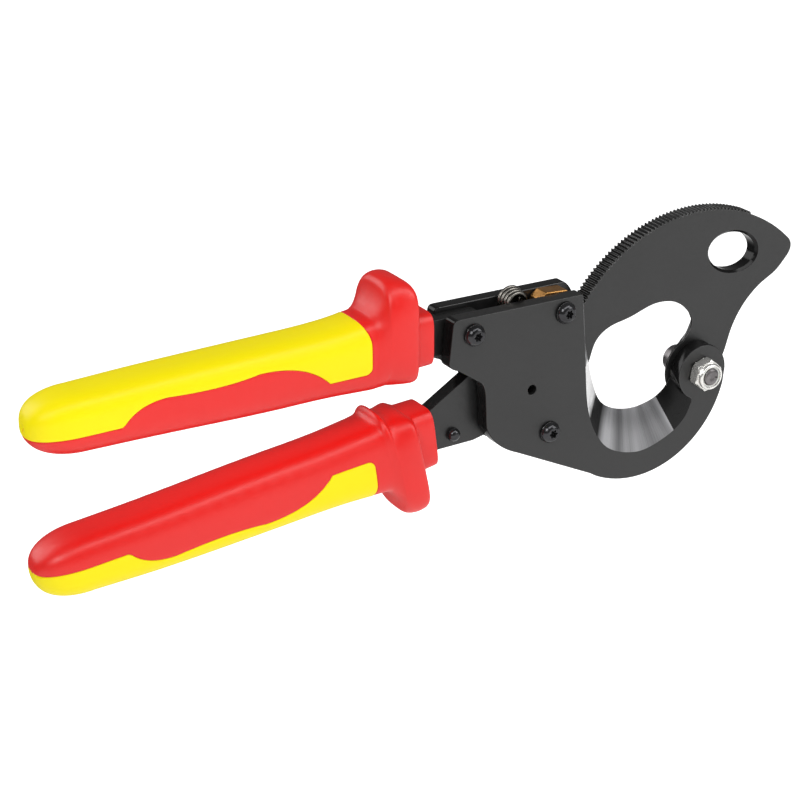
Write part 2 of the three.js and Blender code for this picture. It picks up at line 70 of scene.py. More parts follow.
PIVOT = middle("pivot_bush") * Vector((1, 0, 1))
FRONT, PLATE_IN_FRONT = depths("front_plate")
PLATE_IN_BACK, BACK = depths("back_plate")
BLADE_HALF = depths("blade")[1]
LEVER_HALF = depths("lever")[1]


def about_pivot(node):
    """[x, z] of a node's middle, in millimetres about the blade's pivot."""
    at = (middle(node) - PIVOT) / MM
    return at.x, at.z


def to_frame(points):
    points = np.asarray(points, float) * MM
    return points + np.array([PIVOT.x, 0.0, PIVOT.z])


# ---- materials ------------------------------------------------------------------------------------
class Shader:
    """A Principled material, with helpers that add one node each."""

    def __init__(self, name):
        self.material = bpy.data.materials.new(name)
        self.material.use_nodes = True
        self.tree = self.material.node_tree
        self.bsdf = self.tree.nodes["Principled BSDF"]
        self.place = self.add("ShaderNodeTexCoord").outputs["Object"]

    def add(self, kind, **values):
        node = self.tree.nodes.new(kind)
        for key, value in values.items():
            setattr(node, key, value)
        return node

    def feed(self, socket, value):
        if isinstance(value, bpy.types.NodeSocket):
            self.tree.links.new(value, socket)
        else:
            socket.default_value = value

    def noise(self, scale, detail=3.0, stretch=None, roughness=0.5):
        place = self.place
        if stretch:
            mapping = self.add("ShaderNodeMapping")
            self.feed(mapping.inputs["Vector"], place)
            mapping.inputs["Scale"].default_value = stretch
            place = mapping.outputs["Vector"]
        node = self.add("ShaderNodeTexNoise")
        self.feed(node.inputs["Vector"], place)
        node.inputs["Scale"].default_value = scale
        node.inputs["Detail"].default_value = detail
        node.inputs["Roughness"].default_value = roughness
        return node.outputs["Fac"]

    def scaled(self, value, low, high, from_low=0.3, from_high=0.7):
        node = self.add("ShaderNodeMapRange")
        self.feed(node.inputs["Value"], value)
        for name, number in (("From Min", from_low), ("From Max", from_high),
                             ("To Min", low), ("To Max", high)):
            node.inputs[name].default_value = number
        return node.outputs["Result"]

    def maths(self, operation, a, b=0.0):
        node = self.add("ShaderNodeMath", operation=operation)
        self.feed(node.inputs[0], a)
        self.feed(node.inputs[1], b)
        return node.outputs["Value"]

    def mix(self, share, a, b):
        node = self.add("ShaderNodeMix", data_type="RGBA")
        self.feed(node.inputs["Factor"], share)
        self.feed(node.inputs[6], a)
        self.feed(node.inputs[7], b)
        return node.outputs[2]

    def edges(self, radius_mm):
        """Near 0 on flat surface and near 1 along edges."""
        bevel = self.add("ShaderNodeBevel", samples=4)
        bevel.inputs["Radius"].default_value = radius_mm * MM
        geometry = self.add("ShaderNodeNewGeometry")
        dot = self.add("ShaderNodeVectorMath", operation="DOT_PRODUCT")
        self.feed(dot.inputs[0], bevel.outputs["Normal"])
        self.feed(dot.inputs[1], geometry.outputs["Normal"])
        return self.scaled(dot.outputs["Value"], 1.0, 0.0, 0.8, 0.99)

    def bump(self, *layers):
        normal = None
        for height, distance_mm in layers:
            node = self.add("ShaderNodeBump")
            node.inputs["Distance"].default_value = distance_mm * MM
            self.feed(node.inputs["Height"], height)
            if normal is not None:
                self.feed(node.inputs["Normal"], normal)
            normal = node.outputs["Normal"]
        self.feed(self.bsdf.inputs["Normal"], normal)

    def finish(self, colour, roughness, metallic=0.0, **others):
        self.feed(self.bsdf.inputs["Base Color"], colour)
        self.feed(self.bsdf.inputs["Roughness"], roughness)
        self.feed(self.bsdf.inputs["Metallic"], metallic)
        for name, value in others.items():
            self.feed(self.bsdf.inputs[name.replace("_", " ")], value)
        return self.material


def rgb(red, green, blue):
    return (red, green, blue, 1.0)


def coated_steel(name, dark, light, rough_low, rough_high, wear_and_highlight, wear_and_highlight_colour=(0.1, 0.098, 0.096), shine=0.55):
    """Black coating over steel: fine orange peel, soft cloudy tone, brighter edges that are partly rubbed
    wear and partly painted highlight.
    """
    s = Shader(name)
    cloud = s.noise(45, 4)
    tone = s.mix(s.scaled(cloud, 0, 1), rgb(*dark), rgb(*light))
    # edge lightening: partly rubbed wear, partly painted highlight along every edge
    edge_lightening = s.maths("MULTIPLY", s.edges(0.35), s.scaled(s.noise(260, 4), 0.15, wear_and_highlight))
    tone = s.mix(edge_lightening, tone, rgb(*wear_and_highlight_colour))
    roughness = s.scaled(s.noise(700, 3), rough_low, rough_high)
    s.bump((s.noise(2600, 2), 0.012), (s.noise(420, 3), 0.02))
    return s.finish(tone, roughness, 0.0, Specular_IOR_Level=shine)


def polished_black(name, colour, roughness):
    """Black oxide on turned or ground steel."""
    s = Shader(name)
    tone = s.mix(s.scaled(s.noise(160, 4), 0, 1), rgb(*colour), rgb(*[c * 1.8 for c in colour]))
    edge_lightening = s.maths("MULTIPLY", s.edges(0.25), s.scaled(s.noise(500, 3), 0.2, 0.8))
    tone = s.mix(edge_lightening, tone, rgb(0.3, 0.29, 0.28))
    s.bump((s.noise(1800, 3), 0.01))
    return s.finish(tone, s.scaled(s.noise(900, 3), roughness * 0.75, roughness * 1.4), 0.75)


def bare_metal(name, dark, light, roughness, scratch=(1, 1, 1), metallic=1.0):
    s = Shader(name)
    fine = s.noise(900, 4, scratch)
    tone = s.mix(s.scaled(fine, 0, 1), rgb(*dark), rgb(*light))
    stain = s.scaled(s.noise(140, 5), 0.0, 0.55, 0.45, 0.75)
    tone = s.mix(stain, tone, rgb(*[c * 0.55 for c in dark]))
    s.bump((fine, 0.012), (s.noise(260, 4), 0.03))
    return s.finish(tone, s.scaled(fine, roughness * 0.7, roughness * 1.3), metallic)


def ground_steel(name, centre, height):
    """Ground bevel: grinding lines run across it, square to the cutting edge round `centre`, with painted
    reflection bands, a painted dark reflection stripe and a painted highlight sliver.
    """
    s = Shader(name)
    split = s.add("ShaderNodeSeparateXYZ")
    s.feed(split.inputs["Vector"], s.place)
    x = s.maths("SUBTRACT", split.outputs["X"], centre[0])
    z = s.maths("SUBTRACT", split.outputs["Z"], centre[1])
    around = s.maths("ARCTAN2", z, x)

    def lines(scale, detail):
        node = s.add("ShaderNodeTexNoise", noise_dimensions="2D")
        join = s.add("ShaderNodeCombineXYZ")
        s.feed(join.inputs["X"], s.maths("MULTIPLY", around, scale))
        s.feed(join.inputs["Y"], s.maths("MULTIPLY", split.outputs["Y"], 30.0))
        s.feed(node.inputs["Vector"], join.outputs["Vector"])
        node.inputs["Scale"].default_value = 1.0
        node.inputs["Detail"].default_value = detail
        return node.outputs["Fac"]

    fine = lines(260, 4)
    # broad dark and light bands across the bevel are painted reflection
    reflection_bands = lines(4.2, 1)
    tone = s.mix(s.scaled(reflection_bands, 0, 1, 0.36, 0.64), rgb(0.09, 0.09, 0.093), rgb(0.32, 0.32, 0.33))
    tone = s.mix(s.scaled(fine, 0, 0.3), tone, rgb(0.42, 0.42, 0.43))
    # at the heel of the bevel, a painted highlight sliver beside a painted dark reflection stripe
    dark_reflection = s.scaled(around, 1, 0, math.radians(-123), math.radians(-118))
    highlight_sliver = s.scaled(around, 1, 0, math.radians(-142), math.radians(-136))
    tone = s.mix(dark_reflection, tone, rgb(0.004, 0.004, 0.004))
    tone = s.mix(highlight_sliver, tone, rgb(0.95, 0.95, 0.95))
    # the painted dark reflection is not metallic, so it stays dark; the painted highlight sliver stays
    # metallic
    metallic = s.maths("MAXIMUM", s.maths("SUBTRACT", 1.0, dark_reflection), highlight_sliver)
    s.bump((fine, height), (s.noise(500, 4), 0.015))
    return s.finish(tone, s.scaled(fine, 0.26, 0.4), metallic, Specular_IOR_Level=0.1)


def moulded_plastic(name, dark, light, rough_low, rough_high, depth, shine=0.5):
    """Semi-gloss two-component moulding: spark-eroded grain and slight flow marks."""
    s = Shader(name)
    flow = s.noise(16, 3, (0.35, 1.6, 1.6))
    tone = s.mix(s.scaled(flow, 0, 1), rgb(*dark), rgb(*light))
    speck = s.scaled(s.noise(1500, 2), 0.0, 0.05, 0.62, 0.8)
    tone = s.mix(speck, tone, rgb(*[min(1.0, c * 1.3 + 0.02) for c in light]))
    roughness = s.scaled(s.noise(500, 4), rough_low, rough_high)
    s.bump((s.noise(2200, 3, roughness=0.6), depth), (s.noise(90, 3), 0.05))
    return s.finish(tone, roughness, 0.0, Specular_IOR_Level=shine, Subsurface_Weight=0.04,
                    Subsurface_Radius=(0.002, 0.0008, 0.0005), Subsurface_Scale=0.4)


# the last numbers of each coating set its edge lightening: partly rubbed wear, partly painted highlight
COATING = coated_steel("black coating", (0.006, 0.006, 0.006), (0.009, 0.009, 0.009), 0.3, 0.4, 0.6,
                       (0.2, 0.197, 0.194))
# darker, less reflective copy of the coating: a glossier finish, and painted shade on the sides and jaw faces
# it covers
GLOSS_SHADE = coated_steel("glossy black coating with painted shade", (0.004, 0.004, 0.004), (0.007, 0.007, 0.007), 0.12, 0.2, 1.2,
                     (0.12, 0.118, 0.116), 0.16)
# darker, less reflective copy of the coating for the teeth as painted shade, with strongly brightened edges
# as painted highlight
TOOTH_SHADE = coated_steel("teeth coating with painted shade and highlights", (0.004, 0.004, 0.004), (0.007, 0.007, 0.007), 0.4, 0.5, 1.6,
                     (0.3, 0.3, 0.3), 0.2)
OXIDE = polished_black("black oxide", (0.028, 0.028, 0.03), 0.13)
BOLT = polished_black("bolt steel", (0.11, 0.103, 0.105), 0.3)
INNER = polished_black("dark machined steel", (0.05, 0.05, 0.052), 0.34)
SPRING = bare_metal("spring wire", (0.12, 0.113, 0.1), (0.3, 0.285, 0.26), 0.28, (1, 8, 1))
NICKEL = bare_metal("nickel plate", (0.78, 0.77, 0.74), (0.93, 0.92, 0.89), 0.17, metallic=0.75)
BRASS = bare_metal("dull brass", (0.4, 0.19, 0.05), (0.66, 0.35, 0.12), 0.38, (6, 1, 1))
JAW_CENTRE = (PIVOT.x - 26 * MM, PIVOT.z + 12 * MM)
GROUND = ground_steel("ground steel", JAW_CENTRE, 0.01)
NYLON = moulded_plastic("nylon", (0.72, 0.72, 0.68), (0.84, 0.84, 0.8), 0.45, 0.6, 0.02)
RED = moulded_plastic("red moulding", (0.70, 0.007, 0.005), (0.78, 0.011, 0.008), 0.34, 0.44, 0.018)
YELLOW = moulded_plastic("yellow moulding", (0.86, 0.72, 0.0), (0.92, 0.78, 0.0), 0.34, 0.44, 0.018, 0.22)


# ---- curves in the xz plane -----------------------------------------------------------------------
def quad(a, control, b, count=12):
    t = np.linspace(0, 1, count + 1)[1:, None]
    a, control, b = map(np.array, (a, control, b))
    return [*map(tuple, (1 - t) ** 2 * a + 2 * t * (1 - t) * control + t ** 2 * b)]


def arc(centre, radius, start, end, count=24):
    angles = np.radians(np.linspace(start, end, count + 1))
    return [(centre[0] + radius * math.cos(a), centre[1] + radius * math.sin(a)) for a in angles]


def through(points, count=12):
    """Smooth curve through points, without the first one."""
    p = np.array(points, float)
    found = []
    for i in range(len(p) - 1):
        p0, p1, p2, p3 = p[max(i - 1, 0)], p[i], p[i + 1], p[min(i + 2, len(p) - 1)]
        v1, v2 = (p2 - p0) / 2, (p3 - p1) / 2
        for t in np.linspace(0, 1, count + 1)[1:]:
            found.append(tuple((2 * p1 - 2 * p2 + v1 + v2) * t ** 3
                               + (-3 * p1 + 3 * p2 - 2 * v1 - v2) * t ** 2 + v1 * t + p1))
    return found


def evenly(points, count):
    """The same line through `count` evenly spaced points."""
    p = np.array(points, float)
    along = np.concatenate([[0], np.cumsum(np.linalg.norm(np.diff(p, axis=0), axis=1))])
    stops = np.linspace(0, along[-1], count)
    return [*zip(*(np.interp(stops, along, column) for column in p.T))]


# ---- meshes ---------------------------------------------------------------------------------------
def make(name, points, faces, materials=(), face_material=None):
    mesh = bpy.data.meshes.new(name)
    mesh.from_pydata([tuple(p) for p in to_frame(points)], [], faces)
    for material in materials:
        mesh.materials.append(material)
    if face_material is not None:
        mesh.polygons.foreach_set("material_index", face_material)
    tidy = bmesh.new()
    tidy.from_mesh(mesh)
    bmesh.ops.remove_doubles(tidy, verts=tidy.verts, dist=1e-6)
    bmesh.ops.recalc_face_normals(tidy, faces=tidy.faces)
    tidy.to_mesh(mesh)
    tidy.free()
    mesh.polygons.foreach_set("use_smooth", [True] * len(mesh.polygons))
    piece = bpy.data.objects.new(name, mesh)
    bpy.context.scene.collection.objects.link(piece)
    return piece


def prism(name, front, back, y_front, y_back, materials=(), side_material=None, flat_material=0):
    """Solid between two outlines with equally many points."""
    count = len(front)
    points = [(x, y_front, z) for x, z in front] + [(x, y_back, z) for x, z in back]
    faces = [list(range(count)), list(range(count, 2 * count))]
    faces += [[i, (i + 1) % count, count + (i + 1) % count, count + i] for i in range(count)]
    sides = side_material if side_material is not None else [flat_material] * count
    return make(name, points, faces, materials, [flat_material, flat_material, *sides])


def turned(name, at, profile, segments=64, materials=(), thread=None):
    """Turned solid about the y axis. profile is (radius, y); thread is (y0, y1, pitch, depth)."""
    points, faces = [], []
    for radius, y in profile:
        for i in range(segments):
            turn = i / segments
            r = radius
            if thread and thread[0] <= y <= thread[1]:
                phase = (y / thread[2] + turn) % 1
                r -= thread[3] * abs(2 * phase - 1)
            points.append((at[0] + r * math.cos(turn * math.tau), y, at[1] + r * math.sin(turn * math.tau)))
    rows = len(profile)
    for j in range(rows - 1):
        for i in range(segments):
            k = (i + 1) % segments
            faces.append([j * segments + i, j * segments + k, (j + 1) * segments + k, (j + 1) * segments + i])
    faces.append(list(range(segments)))
    faces.append(list(range((rows - 1) * segments, rows * segments)))
    return make(name, points, faces, materials)


def tube(name, at, inner, outer, y0, y1, materials, segments=64):
    piece = turned(name, at, [(outer, y0), (outer, y1)], segments, materials)
    return carve(piece, bore(at, inner, y0 - 1, y1 + 1, segments))


def sweep(name, path, radius, materials, sides=14):
    """Round wire along a path, with domed ends."""
    path = np.array(path, float)
    tangents = np.gradient(path, axis=0)
    tangents /= np.linalg.norm(tangents, axis=1)[:, None]
    side = np.cross(tangents[0], [0.3, 1.0, 0.2])
    points, faces = [], []
    for i, (centre, tangent) in enumerate(zip(path, tangents)):
        side = side - tangent * side.dot(tangent)
        side /= np.linalg.norm(side)
        up = np.cross(tangent, side)
        end = 0.55 if i in (0, len(path) - 1) else 1.0
        for k in range(sides):
            a = k / sides * math.tau
            points.append(centre + radius * end * (side * math.cos(a) + up * math.sin(a)))
    for i in range(len(path) - 1):
        for k in range(sides):
            n = (k + 1) % sides
            faces.append([i * sides + k, i * sides + n, (i + 1) * sides + n, (i + 1) * sides + k])
    faces.append(list(range(sides)))
    faces.append(list(range((len(path) - 1) * sides, len(path) * sides)))
    return make(name, points, faces, materials)


def bake(piece):
    """Applies the modifiers."""
    evaluated = piece.evaluated_get(bpy.context.evaluated_depsgraph_get())
    mesh = bpy.data.meshes.new_from_object(evaluated)
    piece.modifiers.clear()
    piece.data = mesh
    return piece


def carve(piece, *cutters, operation="DIFFERENCE"):
    for cutter in cutters:
        change = piece.modifiers.new("cut", "BOOLEAN")
        change.operation = operation
        change.solver = "EXACT"
        change.object = cutter
    bpy.context.view_layer.update()
    bake(piece)
    for cutter in cutters:
        bpy.data.objects.remove(cutter)
    return piece


def soften(piece, width, segments=3, angle=30):
    """Rounds every real edge and keeps the flats flat."""
    weld = piece.modifiers.new("weld", "WELD")
    weld.merge_threshold = 1e-6
    bevel = piece.modifiers.new("edges", "BEVEL")
    bevel.width = width * MM
    bevel.segments = segments
    bevel.limit_method = "ANGLE"
    bevel.angle_limit = math.radians(angle)
    bevel.use_clamp_overlap = False
    shade = piece.modifiers.new("shade", "WEIGHTED_NORMAL")
    shade.keep_sharp = False
    shade.weight = 90
    return piece


def fit(piece, body, slot, *stands_for):
    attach(piece, body)
    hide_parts(*stands_for)
    return piece


def bore(at, radius, y0, y1, segments=64):
    return turned("bore", at, [(radius, y0), (radius, y1)], segments)


# ---- side plates ----------------------------------------------------------------------------------
LEVER_PIVOT = about_pivot("lever_pivot_pin")
SCREWS = {name: about_pivot(name) for name in ("screw_tang", "screw_pawl", "screw_spacer")}
EYE = 9.8
# radii of the holes
SCREW_HOLE = 2.3
DOWEL_HOLE = 1.85
STUD_HOLE = 1.35
NUT_THREAD = 3.06
PLATE_PIVOT_HOLE = 4.45
BLADE_PIVOT_HOLE = 4.46
LEVER_PIN_DRILL = 1.65
LEVER_PIN_POCKET = 3.65
LEVER_BUSH_HOLE = 4.75
DRIVE_PAWL_HOLE = 1.44
RETAINING_PAWL_HOLE = 3.16
POCKET_DEPTH = 1.8
THROUGH = 4                  # half length of a cutter that passes the middle layer


def gloss_shade_edged(name, outline, y_front, y_back):
    """Plate with satin flats, and edges in the darker gloss coating as painted shade."""
    return prism(name, outline, outline, y_front, y_back, [COATING, GLOSS_SHADE], [1] * len(outline))


def left_end(top):
    return [(-97.6, top), *quad((-97.6, top), (-99.5, top), (-99.6, top - 2)), (-100.9, 23.2),
            *quad((-100.9, 23.2), (-101, 21.4), (-97.4, 20.2)), (-89.2, 14.6),
            *quad((-89.2, 14.6), (-87.4, 13.2), (-87.1, 8.5)), (-86.6, -1.8),
            *quad((-86.6, -1.8), (-83.8, -9.4), (-74.5, -13.2))]


def front_plate():
    outside = [*left_end(37.5), (-45, -27.5), *arc((-26, 3.3), 36.3, -117, -14, 70)]
    front_edge = [(-3.6, -9.2), (-6.8, -15.6), (-13.6, -20.5), (-25.1, -23.7), (-36.9, -20.4),
                  (-43.4, -12.9), (-47, -1.9), (-48.6, 16)]
    cutting_edge = [(-9.6, -1.2), (-12.6, -5.2), (-17.5, -8), (-25.1, -9.3), (-33, -7.8),
                    (-38.6, -3.8), (-42, 4.3), (-44.8, 16)]
    eye_points, jaw_points = 40, 90
    top_right = (-50.3, 37.5)

    def outline(eye_end, edge):
        eye = arc((0, 0), EYE, -12, eye_end, eye_points)
        jaw = evenly([edge[0], *through(edge)], jaw_points)
        return [*outside, *eye, *jaw, top_right]

    front = outline(246, front_edge)
    back = outline(186, cutting_edge)
    first_jaw = len(outside) + eye_points + 1
    flat, bevel, gloss_shade = 0, 1, 2
    sides = [flat] * len(front)
    heel_x = -15.4           # the ground bevel ends here, and the coating starts
    for i in range(first_jaw - 6, first_jaw + jaw_points):
        sides[i] = bevel if back[i][0] < heel_x else gloss_shade
    # the darker gloss coating, as painted shade, on the left end and on the upper and left side of the eye
    for i in (*range(len(left_end(0)) - 1), *range(len(outside) + 12, len(outside) + eye_points)):
        sides[i] = gloss_shade
    piece = prism("front_side_plate", front, back, FRONT, PLATE_IN_FRONT, [COATING, GROUND, GLOSS_SHADE], sides)
    holes = [bore(at, SCREW_HOLE, FRONT - 1, 0) for at in SCREWS.values()]
    piece = carve(piece, bore((0, 0), PLATE_PIVOT_HOLE, FRONT - 1, 0),
                  bore(LEVER_PIVOT, LEVER_PIN_DRILL, FRONT - 1, 0), *holes,
                  bore(LEVER_PIVOT, LEVER_PIN_POCKET, PLATE_IN_FRONT - POCKET_DEPTH, 0),
                  bore(about_pivot("tang_dowel"), DOWEL_HOLE, PLATE_IN_FRONT - POCKET_DEPTH, 0))
    return fit(soften(piece, 0.32), "frame", "blackened", "front_plate")


def back_plate():
    outline = [*left_end(38.1), (-59, -20.6), *quad((-59, -20.6), (-52.5, -23), (-51, -16.5)),
               *quad((-51, -16.5), (-46.2, 4), (-45.6, 28), 20),
               *quad((-45.6, 28), (-45.6, 35.6), (-50, 38.1), 20)]
    piece = gloss_shade_edged("rear_side_plate", outline, PLATE_IN_BACK, BACK)
    holes = [bore(at, SCREW_HOLE, 0, BACK + 1) for at in SCREWS.values()]
    piece = carve(piece, *holes, bore(LEVER_PIVOT, LEVER_PIN_POCKET, 0, PLATE_IN_BACK + POCKET_DEPTH),
                  bore(about_pivot("tang_dowel"), DOWEL_HOLE, 0, PLATE_IN_BACK + POCKET_DEPTH))
    return fit(soften(piece, 0.45), "frame", "blackened", "back_plate")


def fixed_tang():
    dowel = about_pivot("tang_dowel")
    outline = [(-228, 26), (-112, 24.4), (-88, 23.8), *arc(dowel, 3.4, -90, 90), (-83, 30.8),
               *quad((-83, 30.8), (-85.6, 31.5), (-86.4, 36.6)), (-112, 36.6), (-228, 33.6)]
    piece = gloss_shade_edged("fixed_handle_core", outline, -LEVER_HALF, LEVER_HALF)
    piece = carve(piece, bore(SCREWS["screw_tang"], SCREW_HOLE, -THROUGH, THROUGH),
                  bore(dowel, DOWEL_HOLE, -THROUGH, THROUGH))
    return fit(soften(piece, 0.3), "frame", "blackened", "fixed_tang")


# ---- blade ----------------------------------------------------------------------------------------
def blade():
    tip, root, plain = 56.4, 55.5, 55.6
    tail = math.radians(45.5)
    tooth_pitch = 1.5
    step = tooth_pitch / tip
    start, end = math.radians(67), math.radians(187)
    hub = 11.3
    cutting = [(-54.8, -8.6), (-49.5, -5.5), (-45.4, 3), (-43.2, 10.8), (-40.6, 17.6), (-35.5, 21.4),
               (-27, 23.4), (-17, 26.3), (-8.5, 25.2), (-2.6, 20.4), (-1.3, 15.4), (-4.4, 10.4)]
    outline = [(hub, -1), *through([(hub, -1), (13.4, 3), (16.4, 12), (20.6, 19), (26.4, 24.6), (33.8, 29),
                                    (38, 33.2)])]
    outline += quad((38, 33.2), (41.2, 36.6), (plain * math.cos(tail), plain * math.sin(tail)))
    outline += arc((0, 0), plain, 45.7, 66, 40)
    tooth_sides = []
    for i in range(int((end - start) / step)):
        a = start + i * step
        for radius, share in ((root, 0.0), (root, 0.12), (tip - 0.08, 0.56), (tip, 0.64), (tip - 0.12, 0.7)):
            tooth_sides.append(len(outline))
            outline.append((radius * math.cos(a + share * step), radius * math.sin(a + share * step)))
    outline += [(-54.8, -8.6), *through(cutting, 14)]
    outline += arc((0, 0), hub, 113, 353, 90)
    slots = [COATING, GROUND, TOOTH_SHADE, GLOSS_SHADE]
    # slots 2 and 3 are darker copies of the coating: painted shade on the teeth and on the sides
    bevel, tooth_shade, gloss_shade = 1, 2, 3
    sides = [gloss_shade] * len(outline)
    for i in tooth_sides:
        sides[i] = tooth_shade
    piece = prism("moving_blade", outline, outline, -BLADE_HALF, BLADE_HALF, slots, sides)

    def opening(edge):
        return [(-30, 0), edge[0], *through(edge), (-9, -14), (-20, -8)]

    edge = [*cutting[1:], (-6.2, 7.6), (-8.3, 4.4), (-9.3, 1), (-9.2, -3), (-7, -10.5)]
    ground = [(-50.6, -5.2), (-48.6, 4), (-47.2, 12), (-44.6, 21), (-38.6, 26), (-28.6, 28.4), (-17, 31),
              (-6, 29), (1, 22.8), (3.2, 16.4), (1.6, 11.4), (-1.6, 7.6), (-4.4, 4.8), (-6.1, 1.6),
              (-6.3, -3), (-4, -11.5)]
    land, past = 0.6, 0.05
    inner_line = opening(edge)
    near_hub = [gloss_shade if x > -13 and z < 11 else bevel for x, z in inner_line]
    grinding = prism("grinding", inner_line, opening(ground), -BLADE_HALF + land, BLADE_HALF + past,
                     slots, near_hub, flat_material=bevel)

    hole_x, hole_z, hole_turn = 14.8, 39.1, math.radians(-13)

    def oval(grow, count=96):
        a = np.linspace(0, math.tau, count, endpoint=False)
        long, short = (10.1 + grow) * np.cos(a), (6.7 + grow) * np.sin(a)
        return [*zip(hole_x + long * math.cos(hole_turn) - short * math.sin(hole_turn),
                     hole_z + long * math.sin(hole_turn) + short * math.cos(hole_turn))]

    rim = 0.9
    hole = prism("hole", oval(0), oval(0), -THROUGH, THROUGH, slots, flat_material=gloss_shade)
    front_rim = prism("rim", oval(rim + past), oval(0), -BLADE_HALF - past, -BLADE_HALF + rim, slots,
                      flat_material=gloss_shade)
    back_rim = prism("rim", oval(0), oval(rim + past), BLADE_HALF - rim, BLADE_HALF + past, slots,
                     flat_material=gloss_shade)
    piece = carve(piece, hole, front_rim, back_rim, grinding,
                  bore((0, 0), BLADE_PIVOT_HOLE, -THROUGH, THROUGH))
    return fit(soften(piece, 0.1, 2, 24), "blade", "blackened", "blade")


# ---- lever and pawls ------------------------------------------------------------------------------
def lever():
    px, pz = LEVER_PIVOT
    boss = 12.4
    end = arc((px, pz), boss, -100, 100, 70)
    outline = [*end, *quad(end[-1], (-80, 21), (-86, 17.7)), (-105.5, 5.6), (-110, 3.6), (-224, -14.4),
               (-224, -21.2), (-110, -8.6), (-88, -7.9)]
    piece = gloss_shade_edged("moving_handle_core", outline, -LEVER_HALF, LEVER_HALF)
    slot = [(-66, -8), (-66, 13), (-63.5, 18.4), (-57, 22), (-52, 10), (-52, -8)]
    stud = about_pivot("lever_stud")
    piece = carve(piece, prism("slot", slot, slot, -1.4, 1.4),
                  bore(about_pivot("drive_pawl_pin"), DRIVE_PAWL_HOLE, -THROUGH, THROUGH),
                  bore(LEVER_PIVOT, LEVER_BUSH_HOLE, -THROUGH, THROUGH),
                  bore(stud, STUD_HOLE, -THROUGH, THROUGH))
    fit(soften(piece, 0.28), "lever", "blackened", "lever")
    low, high = depths("lever_stud")
    under = low + 2.4
    profile = [(0.02, low), (0.55, low + 0.02), (1.1, low + 0.14), (1.6, low + 0.44), (1.95, low + 0.85),
               (2.15, low + 1.3), (2.25, low + 1.8), (2.25, under), (1.3, under), (1.3, high), (0.02, high)]
    dome = turned("handle_stud", stud, profile, 64, [OXIDE])
    fit(soften(dome, 0.06, 2, 40), "lever", "dark_steel", "lever_stud")


def retaining_pawl():
    (sx, sz), (tx, tz) = SCREWS["screw_pawl"], (-54.2, 17.2)
    outline = [(sx - 7, sz - 1.6), (sx - 5.6, sz - 4.4), (tx - 3.4, tz + 4), (tx - 2, tz + 0.2), (tx, tz),
               (tx + 1.2, tz + 5.4), (sx + 5.2, sz - 4.6),
               *quad((sx + 5.2, sz - 4.6), (sx + 7, sz - 1), (sx + 6.4, sz + 3)),
               (sx + 4.4, sz + 5.2), (sx - 3.6, sz + 5.7), (sx - 6.4, sz + 3.6)]
    half = depths("retaining_pawl")[1]
    piece = prism("retaining_pawl_brass", outline, outline, -half, half, [BRASS])
    piece = carve(piece, bore((sx, sz), RETAINING_PAWL_HOLE, -THROUGH, THROUGH))
    fit(soften(piece, 0.4), "retaining_pawl", "bronze", "retaining_pawl")


def drive_pawl():
    (qx, qz), (tx, tz) = about_pivot("drive_pawl_pin"), (-56.78, -2.6)
    half = depths("drive_pawl")[1]
    outline = [*arc((qx, qz), 2.7, 20, 200), (qx + 0.6, qz - 8), (tx - 2.4, tz + 2.2), (tx - 0.6, tz - 0.3),
               (tx, tz), (tx - 0.5, tz + 6)]
    piece = prism("drive_pawl_steel", outline, outline, -half, half, [INNER])
    piece = carve(piece, bore((qx, qz), DRIVE_PAWL_HOLE, -THROUGH, THROUGH))
    fit(soften(piece, 0.12), "drive_pawl", "dark_steel", "drive_pawl")


def drive_pawl_leaf():
    """Its foot sits in the lever."""
    line = [(-65.4, -3), (-64.7, -2.2), (-64.25, 0.5), (-63.85, 5.1)]
    spine = np.array(evenly([line[0], *through(line)], 30))
    along = np.gradient(spine, axis=0)
    across = np.stack([-along[:, 1], along[:, 0]], 1) / np.linalg.norm(along, axis=1)[:, None]
    outline = [*map(tuple, spine + 0.2 * across), *map(tuple, (spine - 0.2 * across)[::-1])]
    piece = prism("drive_pawl_leaf_spring", outline, outline, -1, 1, [SPRING])
    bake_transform(piece)
    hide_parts("drive_pawl_spring")


def pawl_spring():
    centre, coil, pitch, turns, per_turn = (-71.8, 36.2), 3.5, 1.36, 3.5, 40
    flare = 1.0          # how much wider the rear turn is than the front one
    front = -2.38
    legs = [[-83.2, front, 33.4], [-82, front, 33.7], [-80, front, 34.2], [-78, front, 35.4]]
    path = [*legs]
    for i in range(int(turns * per_turn) + 1):
        a = math.pi - i / per_turn * math.tau
        r = coil + flare * i / (turns * per_turn)
        path.append([centre[0] + r * math.cos(a), front + i / per_turn * pitch, centre[1] + r * math.sin(a)])
    path += [[-68, -front, 35.6], [-67.8, -front, 34]]
    smooth = np.array(evenly(path, 420))
    for _ in range(4):
        smooth[1:-1] = (smooth[:-2] + 2 * smooth[1:-1] + smooth[2:]) / 4
    fit(sweep("pawl_coil_spring", smooth, 0.58, [SPRING]), "frame", "spring_steel", "pawl_spring")


# ---- screws, bolt and nut -------------------------------------------------------------------------
def star(at, radius, lobe, count=72):
    a = np.linspace(0, math.tau, count, endpoint=False)
    r = radius + lobe * np.cos(6 * a)
    return [*zip(at[0] + r * np.cos(a), at[1] + r * np.sin(a))]


